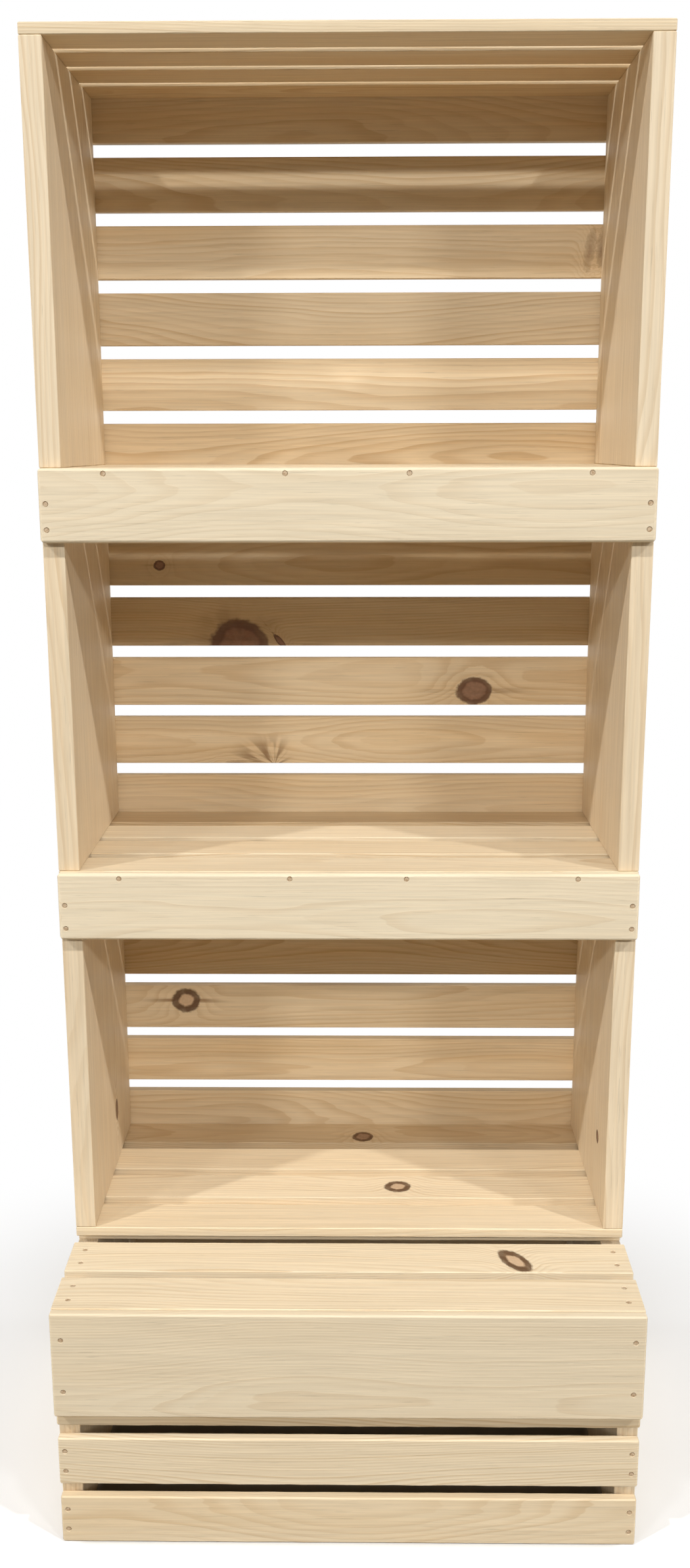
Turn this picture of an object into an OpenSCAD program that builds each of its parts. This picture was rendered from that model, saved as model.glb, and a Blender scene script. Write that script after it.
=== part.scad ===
// Market crate stand: three slatted pine crates stacked on a deeper slatted base.
// Millimetres, +Z up, front towards -Y, origin on the floor at the middle of the footprint.

/* [Boards] */
// Length of every slat, and so the width of the whole stand
stand_w = 610; // [400:1:900]
// Thickness of the solid side panels
side_t = 22; // [16:0.5:32]
// Thickness of every slat
slat_t = 11; // [8:0.5:16]

/* [Crates] */
// Height of one crate, over its floor slats and its top slats
crate_h = 415; // [320:1:600]
// Depth of a crate's side panels
crate_d = 256; // [200:1:400]
// Number of back slats on a crate
back_n = 6; // [4:1:6]
// Open gap between back slats
back_gap = 14.6; // [4:0.2:24]
// Number of floor slats in a crate, and of top slats
shelf_n = 4; // [3:1:4]
// Open gap between floor slats, and between top slats
shelf_gap = 16; // [4:0.5:24]

/* [Lips] */
// Height of the lip board on the front of a shelf
lip_h = 73; // [55:1:110]
// Thickness of a lip board
lip_t = 11; // [8:0.5:16]
// Distance from the middle to a lip's inner edge nail
lip_nail_in = 61; // [30:1:90]
// Distance from the middle to a lip's outer edge nail
lip_nail_out = 240; // [110:1:250]

/* [Base] */
// Height of the base, over its top slats
base_h = 280; // [220:1:400]
// How far the base's slatted front stands ahead of the crates
base_ledge = 140; // [60:1:240]
// Number of slats on the base's top
base_top_n = 6; // [4:1:6]
// Open gap behind each of the ledge's slats, and between the base's top slats under the crates
base_top_gap = 12; // [4:0.2:20]
// How far behind the crates' fronts the base's top slats under them start
deck_set = 12; // [0:0.5:30]
// Number of slats on the base's front, and on its back
base_wall_n = 4; // [3:1:5]
// Open gap between the base's front slats, and between its back slats
base_wall_gap = 15; // [4:0.5:20]
// Height of the wide board over the base's front slats
board_h = 120; // [90:1:160]
// Thickness of the wide board
board_t = 11; // [8:0.5:16]

/* [Fasteners] */
// Diameter of a nail's shank
nail_d = 2; // [1.6:0.1:2.6]
// Diameter of a nail's head
nail_head_d = 4.4; // [3.4:0.1:5]
// Thickness of a nail's head
nail_head_t = 1; // [0.6:0.1:1.5]
// Length of the nails that hold one slat or lip
nail_l = 32; // [26:1:40]
// Length of the nails that go through the wide board and a slat
long_nail_l = 44; // [38:1:52]
// How far a nail's head is set below the face
nail_set = 0.4; // [0.2:0.1:1]
// Distance from a slat's long edge to its nails
nail_edge = 16; // [13:0.5:19]
// Sideways offset of a nail row from the middle of a side panel
nail_stagger = 4; // [3.5:0.1:5.5]
// Distance from the wide board's upper and lower edges to its nails
board_nail_edge = 30; // [20:1:40]
// Diameter of a stacking screw's shank
screw_d = 3.6; // [3:0.1:4.5]
// Diameter of a stacking screw's countersunk head
screw_head_d = 7.2; // [6:0.1:9]
// Length of a stacking screw
screw_l = 18; // [16:0.5:18.5]
// Distance from a side panel's inner face to the stacking screws
screw_inset = 60; // [30:1:120]
// Radial room round a nail or screw in its hole
hole_room = 0.05; // [0.02:0.01:0.1]

/* [Hidden] */
$fn = 24;
// A cut runs this far past the face that it starts from
past = 1;
pine = "#e8d3ab";
pine_side = "#e3cba0";
pine_board = "#ead9b8";
steel = "#8f8c86";

// Directions that a nail's head can face
UP = [0, 0, 0];
DOWN = [180, 0, 0];
FRONT = [90, 0, 0];
BACK = [-90, 0, 0];

// Slats of the base's front, counted from the floor, and of its top, counted from the front,
// that show: the wide board covers the other front slats and the crates stand on the other top slats
base_shown_n = 2;

CRATES = ["lower", "middle", "upper"];
LOWER = 0;
MIDDLE = 1;
UPPER = 2;
SIDES = ["left", "right"];

// Depth of the stand, from the wide board's face to the back slats' faces
stand_d = board_t + base_ledge + crate_d + slat_t;
base_front_y = -stand_d / 2 + board_t;
crate_front_y = base_front_y + base_ledge;
crate_back_y = crate_front_y + crate_d;

// Slat widths: what the named gaps leave of the space that the slats share
back_w = shared_w(crate_h, back_n, back_gap);
shelf_w = shared_w(crate_d, shelf_n, shelf_gap);
base_side_h = base_h - slat_t;
base_wall_w = shared_w(base_side_h, base_wall_n, base_wall_gap);
ledge_w = base_ledge / base_shown_n - base_top_gap;
deck_n = base_top_n - base_shown_n;
deck_w = shared_w(crate_d + slat_t - deck_set, deck_n, base_top_gap);

// Nail rows over the middle of a side panel, one each side of it
side_mid = stand_w / 2 - side_t / 2;
wall_row = side_mid + nail_stagger;
shelf_row = side_mid - nail_stagger;

// Stacking screws go through the slat at each of these places, counted from the front
screw_slats = [1, shelf_n - 1];
screw_x = stand_w / 2 - side_t - screw_inset;

// Width of each of n slats that share a length and leave a gap between them
function shared_w(length, n, gap) = (length - (n - 1) * gap) / n;

// Low corner of a slat along the direction in which its row repeats
function crate_z(c) = base_h + c * crate_h;
function back_z(c, i) = crate_z(c) + i * (back_w + back_gap);
function shelf_y(i) = crate_front_y + i * (shelf_w + shelf_gap);
function base_wall_z(i) = i * (base_wall_w + base_wall_gap);
function deck_y(i) = crate_front_y + deck_set + i * (deck_w + base_top_gap);
function base_top_y(i) = i < base_shown_n
    ? base_front_y + i * (ledge_w + base_top_gap)
    : deck_y(i - base_shown_n);
function base_top_w(i) = i < base_shown_n ? ledge_w : deck_w;

// The two nail lines of a slat that starts at low and is w wide
function nail_lines(low, w) = [low + nail_edge, low + w - nail_edge];

// Nail places: every list holds points on the face that the nail is driven into
function back_nails(c, i, sides) = [for (s = sides, z = nail_lines(back_z(c, i), back_w))
    [s * wall_row, crate_back_y + slat_t, z]];
function top_nails(c, i, sides) = [for (s = sides, y = nail_lines(shelf_y(i), shelf_w))
    [s * shelf_row, y, crate_z(c) + crate_h]];
function floor_nails(c, i, sides) = [for (s = sides, y = nail_lines(shelf_y(i), shelf_w))
    [s * shelf_row, y, crate_z(c)]];

// A lip's end nails go into the side panel of the crate below, at these shares of the height that it covers
lip_cover = lip_h - 2 * slat_t;
lip_nail_shares = [1/4, 3/4];
function lip_top_z(c) = crate_z(c) + slat_t;
function lip_end_nails(c, sides) = [for (s = sides, share = lip_nail_shares)
    [s * wall_row, crate_front_y - lip_t, lip_top_z(c) - lip_h + share * lip_cover]];
// A lip's edge nails go into the front edge of the crate's first floor slat
function lip_edge_nails(c) = [for (s = [-1, 1], x = [lip_nail_in, lip_nail_out])
    [s * x, crate_front_y - lip_t, crate_z(c) + slat_t / 2]];

function base_front_nails(i, sides) = [for (s = sides, z = nail_lines(base_wall_z(i), base_wall_w))
    [s * wall_row, base_front_y, z]];
function base_back_nails(i, sides) = [for (s = sides, z = nail_lines(base_wall_z(i), base_wall_w))
    [s * wall_row, crate_back_y + slat_t, z]];
function base_top_nails(i, sides) = [for (s = sides, y = nail_lines(base_top_y(i), base_top_w(i)))
    [s * shelf_row, y, base_h]];
function board_nails(sides) = [for (s = sides, z = nail_lines_of_board())
    [s * side_mid, base_front_y - board_t, z]];
function nail_lines_of_board() = [base_h - board_nail_edge, base_h - board_h + board_nail_edge];

// Stacking screws: upwards through a slat below into a floor slat above.
// Over the base a screw goes midway in the overlap of the floor slat and the top slat under it.
function nearest_deck(y) =
    max(0, min(deck_n - 1, round((y - deck_y(0) - deck_w / 2) / (deck_w + base_top_gap))));
function overlap_mid(a, a_w, b, b_w) = (max(a, b) + min(a + a_w, b + b_w)) / 2;
function screw_y(c, i) = c > LOWER
    ? shelf_y(i) + shelf_w / 2
    : overlap_mid(shelf_y(i), shelf_w, deck_y(nearest_deck(shelf_y(i) + shelf_w / 2)), deck_w);
function screw_points(c) = [for (i = screw_slats, s = [-1, 1])
    [s * screw_x, screw_y(c, i), crate_z(c) - slat_t]];

// A nail driven down into a face at z = 0, with its head set below the face
module nail(length) {
    point = nail_d;
    neck = -nail_set - nail_head_t;
    rotate_extrude()
        polygon([[0, -nail_set], [nail_head_d / 2, -nail_set], [nail_head_d / 2, neck], [nail_d / 2, neck],
            [nail_d / 2, point - length], [0, -length]]);
}

// The hole that a nail makes for itself, open past the face
module nail_hole(length) {
    head_h = nail_set + nail_head_t + hole_room;
    translate([0, 0, -length - hole_room])
        cylinder(h = length, d = nail_d + 2 * hole_room);
    translate([0, 0, -head_h])
        cylinder(h = head_h + past, d = nail_head_d + 2 * hole_room);
}

module nails(points, turn, length = nail_l) {
    for (p = points) translate(p) rotate(turn) nail(length);
}

module nail_holes(points, turn, length = nail_l) {
    for (p = points) translate(p) rotate(turn) nail_hole(length);
}

// A countersunk screw with its head's face at z = 0, pointing down
module screw(room = 0, open = 0) {
    cone_h = (screw_head_d - screw_d) / 2;
    translate([0, 0, -screw_l - room])
        cylinder(h = screw_l + room, d = screw_d + 2 * room);
    translate([0, 0, -cone_h])
        cylinder(h = cone_h, d1 = screw_d + 2 * room, d2 = screw_head_d + 2 * room);
    if (open > 0) cylinder(h = open, d = screw_head_d + 2 * room);
}

module screw_holes(c) {
    for (p = screw_points(c)) translate(p) rotate(DOWN) screw(hole_room, past);
}

// A board with its low corner at a point
module plank(corner, size) {
    translate(corner) cube(size);
}

// Solid side panel of a crate, s = -1 on the left and 1 on the right
module crate_side(c, s) {
    color(pine_side) difference() {
        plank([s * side_mid - side_t / 2, crate_front_y, crate_z(c) + slat_t],
            [side_t, crate_d, crate_h - 2 * slat_t]);
        for (i = [0:back_n - 1]) nail_holes(back_nails(c, i, [s]), BACK);
        for (i = [0:shelf_n - 1]) {
            nail_holes(top_nails(c, i, [s]), UP);
            nail_holes(floor_nails(c, i, [s]), DOWN);
        }
        if (c < UPPER) nail_holes(lip_end_nails(c + 1, [s]), FRONT);
    }
}

module back_slat(c, i) {
    color(pine) difference() {
        plank([-stand_w / 2, crate_back_y, back_z(c, i)], [stand_w, slat_t, back_w]);
        nail_holes(back_nails(c, i, [-1, 1]), BACK);
    }
}

module floor_slat(c, i) {
    color(pine) difference() {
        plank([-stand_w / 2, shelf_y(i), crate_z(c)], [stand_w, shelf_w, slat_t]);
        nail_holes(floor_nails(c, i, [-1, 1]), DOWN);
        if (c > LOWER && i == 0) nail_holes(lip_edge_nails(c), FRONT);
        screw_holes(c);
    }
}

module top_slat(c, i) {
    color(pine) difference() {
        plank([-stand_w / 2, shelf_y(i), crate_z(c) + crate_h - slat_t], [stand_w, shelf_w, slat_t]);
        nail_holes(top_nails(c, i, [-1, 1]), UP);
        if (c < UPPER) screw_holes(c + 1);
    }
}

module top_slats(c) {
    for (i = [0:shelf_n - 1]) top_slat(c, i);
}

// Lip board along the front of a crate's floor, level with the floor's upper face
module lip(c) {
    color(pine_board) difference() {
        plank([-stand_w / 2, crate_front_y - lip_t, lip_top_z(c) - lip_h], [stand_w, lip_t, lip_h]);
        nail_holes(lip_edge_nails(c), FRONT);
        nail_holes(lip_end_nails(c, [-1, 1]), FRONT);
    }
}

module base_side(s) {
    color(pine_side) difference() {
        plank([s * side_mid - side_t / 2, base_front_y + slat_t, 0],
            [side_t, base_ledge + crate_d - slat_t, base_side_h]);
        for (i = [0:base_wall_n - 1]) {
            nail_holes(base_front_nails(i, [s]), FRONT);
            nail_holes(base_back_nails(i, [s]), BACK);
        }
        for (i = [0:base_top_n - 1]) nail_holes(base_top_nails(i, [s]), UP);
        nail_holes(board_nails([s]), FRONT, long_nail_l);
    }
}

module base_front_slat(i) {
    color(pine) difference() {
        plank([-stand_w / 2, base_front_y, base_wall_z(i)], [stand_w, slat_t, base_wall_w]);
        nail_holes(base_front_nails(i, [-1, 1]), FRONT);
        nail_holes(board_nails([-1, 1]), FRONT, long_nail_l);
    }
}

module base_covered_front_slats() {
    for (i = [base_shown_n:base_wall_n - 1]) base_front_slat(i);
}

module base_back_slats() {
    color(pine) for (i = [0:base_wall_n - 1]) difference() {
        plank([-stand_w / 2, crate_back_y, base_wall_z(i)], [stand_w, slat_t, base_wall_w]);
        nail_holes(base_back_nails(i, [-1, 1]), BACK);
    }
}

module base_top_slat(i) {
    color(pine) difference() {
        plank([-stand_w / 2, base_top_y(i), base_side_h], [stand_w, base_top_w(i), slat_t]);
        nail_holes(base_top_nails(i, [-1, 1]), UP);
        screw_holes(LOWER);
    }
}

module base_deck_slats() {
    for (i = [base_shown_n:base_top_n - 1]) base_top_slat(i);
}

// Wide board over the base's front slats, level with the base's top
module base_front_board() {
    color(pine_board) difference() {
        plank([-stand_w / 2, base_front_y - board_t, base_h - board_h], [stand_w, board_t, board_h]);
        nail_holes(board_nails([-1, 1]), FRONT, long_nail_l);
    }
}

module crate_nails(c) {
    color(steel) {
        for (i = [0:back_n - 1]) nails(back_nails(c, i, [-1, 1]), BACK);
        for (i = [0:shelf_n - 1]) {
            nails(top_nails(c, i, [-1, 1]), UP);
            nails(floor_nails(c, i, [-1, 1]), DOWN);
        }
    }
}

module lip_nails() {
    color(steel) for (c = [MIDDLE, UPPER]) {
        nails(lip_edge_nails(c), FRONT);
        nails(lip_end_nails(c, [-1, 1]), FRONT);
    }
}

module base_nails() {
    color(steel) {
        for (i = [0:base_wall_n - 1]) {
            nails(base_front_nails(i, [-1, 1]), FRONT);
            nails(base_back_nails(i, [-1, 1]), BACK);
        }
        for (i = [0:base_top_n - 1]) nails(base_top_nails(i, [-1, 1]), UP);
        nails(board_nails([-1, 1]), FRONT, long_nail_l);
    }
}

module stack_screws() {
    color(steel) for (c = [LOWER:UPPER], p = screw_points(c)) translate(p) rotate(DOWN) screw();
}

for (c = [LOWER:UPPER], s = [0, 1])
    crate_side(c, 2 * s - 1);
for (c = [LOWER:UPPER], i = [0:back_n - 1])
    back_slat(c, i);
for (c = [LOWER:UPPER], i = [0:shelf_n - 1])
    floor_slat(c, i);
for (i = [0:shelf_n - 1])
    top_slat(UPPER, i);
top_slats(MIDDLE);  // middle_top_slats
top_slats(LOWER);  // lower_top_slats
lip(UPPER);  // upper_lip
lip(MIDDLE);  // middle_lip
for (s = [0, 1])
    base_side(2 * s - 1);
base_front_board();
for (i = [0:base_shown_n - 1])
    base_front_slat(i);
base_covered_front_slats();
for (i = [0:base_shown_n - 1])
    base_top_slat(i);
base_deck_slats();
base_back_slats();
for (c = [LOWER:UPPER])
    crate_nails(c);
lip_nails();
base_nails();
stack_screws();
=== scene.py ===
# %% [markdown]
# # A market crate stand in bare pine
# Three open crates stand on a deeper slatted base. Every board is a plain piece of planed pine with eased
# edges, nailed to the next one. The measured frame gives the place of each board, so this lesson is about
# the two things that make timber look like timber: the shape of a worked edge, and grain that runs
# through the whole board.

# %% Load the measured frame
import math
import random

import bmesh
import bpy
import numpy as np
from mathutils import Matrix, Vector


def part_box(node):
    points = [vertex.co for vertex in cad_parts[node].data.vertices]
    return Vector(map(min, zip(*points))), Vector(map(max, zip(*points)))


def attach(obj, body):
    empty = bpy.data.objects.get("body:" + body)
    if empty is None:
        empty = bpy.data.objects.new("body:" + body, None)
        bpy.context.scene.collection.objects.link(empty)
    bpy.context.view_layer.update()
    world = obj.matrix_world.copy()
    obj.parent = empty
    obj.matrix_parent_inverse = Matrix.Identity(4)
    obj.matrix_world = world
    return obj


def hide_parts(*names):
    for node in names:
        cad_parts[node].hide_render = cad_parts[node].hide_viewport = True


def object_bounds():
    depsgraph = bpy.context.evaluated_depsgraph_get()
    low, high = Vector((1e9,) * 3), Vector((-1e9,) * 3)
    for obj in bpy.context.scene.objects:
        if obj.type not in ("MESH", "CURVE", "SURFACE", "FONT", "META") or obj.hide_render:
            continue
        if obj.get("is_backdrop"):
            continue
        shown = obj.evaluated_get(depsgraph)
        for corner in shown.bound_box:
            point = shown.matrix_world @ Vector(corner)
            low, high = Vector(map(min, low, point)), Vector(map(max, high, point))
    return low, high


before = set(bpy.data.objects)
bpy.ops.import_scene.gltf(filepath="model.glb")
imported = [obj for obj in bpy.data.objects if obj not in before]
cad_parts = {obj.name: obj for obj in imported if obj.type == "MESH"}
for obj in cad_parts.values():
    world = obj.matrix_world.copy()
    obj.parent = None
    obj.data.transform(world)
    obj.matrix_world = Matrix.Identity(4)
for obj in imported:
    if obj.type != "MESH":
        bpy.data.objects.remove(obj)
cad_low, cad_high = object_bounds()
print("frame:", len(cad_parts), "nodes, box in metres", [round(v, 3) for v in cad_high - cad_low])

# %% [markdown]
# ## The camera
# The picture was taken standing close in front of the stand, a little below the top shelf and looking
# down, so the sides lean together towards the floor. A camera can be set by eye, but lines of a known
# size fix it exactly: the eye point, three turns and the focal length below reproduce the edges of the
# boards to a few pixels.

# %% Camera
FRAME_HEIGHT_PX, FOCAL_PX = 2387, 2207.8
SENSOR_MM = 36.0
EYE = Vector((0.0140, -1.5221, 1.1417))
TILT_DOWN, TURN_LEFT, ROLL = (math.radians(a) for a in (13.126, 0.668, 0.133))

heading = Matrix.Rotation(TURN_LEFT, 3, "Z")
tilt = Matrix.Rotation(math.pi / 2 - TILT_DOWN, 3, "X")
roll = Matrix.Rotation(-ROLL, 3, "Z")
bpy.ops.object.camera_add(location=EYE, rotation=(heading @ tilt @ roll).to_euler())
camera = bpy.context.active_object
camera.data.sensor_width = SENSOR_MM
camera.data.lens = SENSOR_MM * FOCAL_PX / FRAME_HEIGHT_PX
bpy.context.scene.camera = camera
print("camera: lens", round(camera.data.lens, 2), "mm on a sensor", SENSOR_MM, "mm high")

# %% [markdown]
# ## Small helpers for node trees
# A finish is a tree of nodes. Placing nodes by hand in the editor and placing them in code are the same
# work, and a helper keeps the code as short as the drawing: one call makes a node, sets it and fills its
# inputs, either with a number or with a wire from another node.

# %% Node helpers
def add_node(tree, kind, inputs=(), **settings):
    """A new node. An input that is given a socket is wired to it, and any other value is typed in."""
    made = tree.nodes.new(kind)
    for name, value in settings.items():
        setattr(made, name, value)
    for place, value in dict(inputs).items():
        if isinstance(value, bpy.types.NodeSocket):
            tree.links.new(value, made.inputs[place])
        else:
            made.inputs[place].default_value = value
    return made


def calc(tree, operation, *values):
    """The result of one step of arithmetic."""
    return add_node(tree, "ShaderNodeMath", enumerate(values), operation=operation).outputs[0]


def product(tree, *values):
    """Several values multiplied together."""
    result = values[0]
    for value in values[1:]:
        result = calc(tree, "MULTIPLY", result, value)
    return result


def vector_math(tree, operation, *values, output=0):
    """The result of one step of arithmetic on vectors."""
    return add_node(tree, "ShaderNodeVectorMath", enumerate(values), operation=operation).outputs[output]


def fade(tree, value, start, end, low=0.0, high=1.0):
    """Goes smoothly from low at start to high at end, and stays there."""
    sockets = {"Value": value, "From Min": start, "From Max": end, "To Min": low, "To Max": high}
    return add_node(tree, "ShaderNodeMapRange", sockets, interpolation_type="SMOOTHSTEP").outputs["Result"]


def between(tree, share, at_0, at_1):
    """Goes smoothly from one value to another while a share goes from 0 to 1."""
    return fade(tree, share, 0, 1, at_0, at_1)


def mix_colours(tree, share, first, second, blend="MIX"):
    """A colour between two colours."""
    sockets = {"Factor": share, 6: first, 7: second}
    return add_node(tree, "ShaderNodeMix", sockets, data_type="RGBA", blend_type=blend).outputs[2]


def noise(tree, vector, stretch, detail=2.0, roughness=0.5):
    """Cloudy noise about 0.5. Stretch is its features per metre along, across and through."""
    squeezed = vector_math(tree, "MULTIPLY", vector, stretch)
    sockets = {"Vector": squeezed, "Scale": 1.0, "Detail": detail, "Roughness": roughness}
    return add_node(tree, "ShaderNodeTexNoise", sockets).outputs[0]


def read_board(tree, name):
    """Three numbers that a board's mesh carries under a name: the vector, then each part."""
    vector = add_node(tree, "ShaderNodeAttribute", attribute_name=name).outputs["Vector"]
    return vector, *add_node(tree, "ShaderNodeSeparateXYZ", {0: vector}).outputs


print("node helpers ready")

# %% [markdown]
# ## Floor, background and light
# The stand is shown on a plain pale floor in front of white. The floor is one large plane. Close to the
# stand it is shaded as usual, which keeps the stand's shadow, and under the base it is painted a dark
# brown, a painted shade, so that the gaps look into the dark. Farther out it turns to its own white, so
# that it meets the background without a line. Light that bounces finds a dimmer, warm room, which keeps
# the shade inside the crates brown, as it is between wooden walls.

# %% Floor and background
FLOOR_SIZE = 60.0
ROOM_LIGHT = 0.05
ROOM_TINT = (1.0, 0.88, 0.72, 1)
SHADOW_REACH, UNDER_EDGE = 0.45, 0.03
# The dim colour is the floor that bounced light finds, and under the base it is also a painted shade that
# the camera sees through the gaps.
FLOOR_PALE, FLOOR_DIM_AND_PAINTED_SHADE = (0.95, 0.95, 0.95, 1), (0.20, 0.18, 0.15, 1)


def seen_directly(tree):
    """1 where the camera sees a surface, also by reflection or through glass, and 0 for other light."""
    path = add_node(tree, "ShaderNodeLightPath").outputs
    either = calc(tree, "MAXIMUM", path["Is Camera Ray"], path["Is Glossy Ray"])
    return calc(tree, "MAXIMUM", either, path["Is Transmission Ray"])


room = bpy.data.worlds.new("pale_room")
room.use_nodes = True
tree = room.node_tree
seen = seen_directly(tree)
tree.links.new(mix_colours(tree, seen, ROOM_TINT, (1, 1, 1, 1)), tree.nodes["Background"].inputs["Color"])
tree.links.new(between(tree, seen, ROOM_LIGHT, 1.0), tree.nodes["Background"].inputs["Strength"])
bpy.context.scene.world = room

bpy.ops.object.select_all(action="DESELECT")
bpy.ops.mesh.primitive_plane_add(size=FLOOR_SIZE)
floor = bpy.context.active_object
floor.name = "floor"
pale = bpy.data.materials.new("pale_floor")
pale.use_nodes = True
tree = pale.node_tree
tree.nodes.clear()
seen = seen_directly(tree)
spot = add_node(tree, "ShaderNodeTexCoord").outputs["Object"]
across, deep, _ = add_node(tree, "ShaderNodeSeparateXYZ", {0: spot}).outputs
squares = []
for place, half in ((across, cad_high.x), (deep, cad_high.y)):
    beyond = calc(tree, "SUBTRACT", calc(tree, "ABSOLUTE", place), half - UNDER_EDGE)
    squares.append(calc(tree, "POWER", calc(tree, "MAXIMUM", beyond, 0.0), 2.0))
distance = calc(tree, "SQRT", calc(tree, "ADD", *squares))
in_open = product(tree, seen, fade(tree, distance, 0.0, UNDER_EDGE))
# Under the base the camera also sees the dim colour: a painted shade.
paint = mix_colours(tree, in_open, FLOOR_DIM_AND_PAINTED_SHADE, FLOOR_PALE)
shaded = add_node(tree, "ShaderNodeBsdfDiffuse", {"Color": paint}).outputs[0]
white = add_node(tree, "ShaderNodeEmission", {"Color": (1, 1, 1, 1), "Strength": 1.0}).outputs[0]
share = product(tree, seen, fade(tree, distance, UNDER_EDGE, UNDER_EDGE + SHADOW_REACH))
shown = add_node(tree, "ShaderNodeMixShader", {0: share, 1: shaded, 2: white}).outputs[0]
add_node(tree, "ShaderNodeOutputMaterial", {"Surface": shown})
floor.data.materials.append(pale)
floor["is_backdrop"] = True
print("floor:", FLOOR_SIZE, "m plane, room light", ROOM_LIGHT)

# %% [markdown]
# ## Soft lamps
# Lamps can be placed by taste, but shadow edges tell where they were. The upper third of each back wall
# is in shade, so the light on it comes from less than 30 degrees up. Its middle third is brightest, where
# the light of a left and a right panel overlaps, and a panel in front fills in. The front of each floor
# and of each inner side is bright and the rear is dark, which takes a row of lamps high above the front:
# a strip, and a panel far out on each side. Three more panels light the two ends and the back, and add
# nothing to the front: they are kept out of reflections, and the one at the back stands so low that its
# light goes straight through the gaps and out again.

# %% Lamps
def soft_panel(name, place, aim, size, power):
    """A rectangular lamp that looks at its aim. Its size is in metres and its power in watts."""
    bpy.ops.object.light_add(type="AREA", location=place)
    lamp = bpy.context.active_object
    lamp.name = lamp.data.name = name
    lamp.rotation_euler = (Vector(aim) - Vector(place)).to_track_quat("-Z", "Y").to_euler()
    lamp.data.shape = "RECTANGLE"
    lamp.data.size, lamp.data.size_y = size
    lamp.data.energy = power
    return lamp


lamps = [
    soft_panel("left_panel", (-6.3, -8.0, 5.4), (0, 0, 0.9), (1.4, 0.7), 225),
    soft_panel("right_panel", (6.3, -8.0, 5.4), (0, 0, 0.9), (1.4, 0.7), 225),
    soft_panel("front_panel", (0.0, -9.6, 6.2), (0, 0, 0.9), (1.4, 0.7), 230),
    soft_panel("high_left_panel", (-9.0, -6.3, 11.2), (0, -0.1, 0.6), (0.5, 0.4), 835),
    soft_panel("high_right_panel", (9.0, -6.3, 11.2), (0, -0.1, 0.6), (0.5, 0.4), 835),
    soft_panel("high_strip", (0.0, -6.3, 11.2), (0, -0.1, 0.6), (6.0, 0.35), 310),
]
outer_lamps = [
    soft_panel("left_end_panel", (-9.0, 0.5, 1.3), (0, 0, 0.75), (1.2, 1.2), 260),
    soft_panel("right_end_panel", (9.0, 0.5, 1.3), (0, 0, 0.75), (1.2, 1.2), 260),
    soft_panel("back_panel", (0.0, 9.0, 0.9), (0, 0, 0.75), (1.2, 1.2), 540),
]
for lamp in outer_lamps:
    lamp.visible_glossy = False
bpy.context.scene.view_settings.view_transform = "Standard"
print("lamps:", [(lamp.name, lamp.data.energy) for lamp in lamps + outer_lamps])

# %% [markdown]
# ## Pine, step 1: knots
# A knot is a branch that the board cuts through: a dark bark rim round a core, with the grain flowing
# round it and a dark flare along the grain on both sides. Each board carries the place of up to two knots
# as numbers on its mesh: how far a point lies from the knot along and across the grain, in radii, and the
# kind of knot. From 0 to 1 the core goes from pale to dark, and up to 1.3 the knot bursts into rays. 2
# more makes a faint knot, and -1 is only the curly figure that a knot leaves in the wood next to it.

# %% Knots
RIM_AT = 0.82
FLARE_END, FLARE_START = 4.2, 0.8
SWELL_WIDTH = 1 / 0.55


def knot_kind(tree, kind):
    """What the kind of a knot says: its fill, how faint, burst or curly it is, and how much of it shows."""
    faint = fade(tree, kind, 1.4, 1.6)
    curly = fade(tree, kind, -0.4, -0.6)
    return {
        "fill": calc(tree, "SUBTRACT", kind, product(tree, faint, 2.0)),
        "faint": faint,
        "curly": curly,
        "burst": product(tree, fade(tree, kind, 1.0, 1.3), between(tree, faint, 1.0, 0.0)),
        "there": product(tree, between(tree, curly, 1.0, 0.0), between(tree, faint, 1.0, 0.62)),
    }


def knot_outline(tree, flat, grain, kind):
    """How far a point lies from the middle of a knot, in radii: in a plain oval, and with a ragged edge."""
    oval = vector_math(tree, "LENGTH", flat, output="Value")
    coarse = noise(tree, flat, (1.3, 1.3, 1), 3.0, 0.6)
    fine = noise(tree, grain, (130, 130, 130), 3.0, 0.6)
    ragged = calc(tree, "SUBTRACT", between(tree, kind["faint"], coarse, fine), 0.5)
    rough = calc(tree, "MAXIMUM", product(tree, kind["burst"], 0.3), kind["faint"])
    return oval, calc(tree, "ADD", oval, product(tree, ragged, between(tree, rough, 0.45, 1.2)))


def knot_disc(tree, flat, far, kind):
    """The masks of a knot's bark rim and of its core."""
    faint = kind["faint"]
    off_rim = calc(tree, "ABSOLUTE", calc(tree, "SUBTRACT", far, RIM_AT))
    inner, outer = between(tree, kind["fill"], 0.16, 0.10), between(tree, kind["fill"], 0.37, 0.26)
    patches = noise(tree, flat, (1.1, 1.1, 1), 2.0)
    uneven = fade(tree, patches, 0.3, 0.55, between(tree, faint, 0.8, 0.25), 1.0)
    rim = product(tree, fade(tree, off_rim, inner, outer, 1.0, 0.0), uneven, between(tree, faint, 1.0, 0.3))
    core = fade(tree, far, between(tree, faint, 0.62, 0.15), between(tree, faint, 0.95, 1.2), 1.0, 0.0)
    return product(tree, rim, kind["there"]), product(tree, core, kind["there"])


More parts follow.
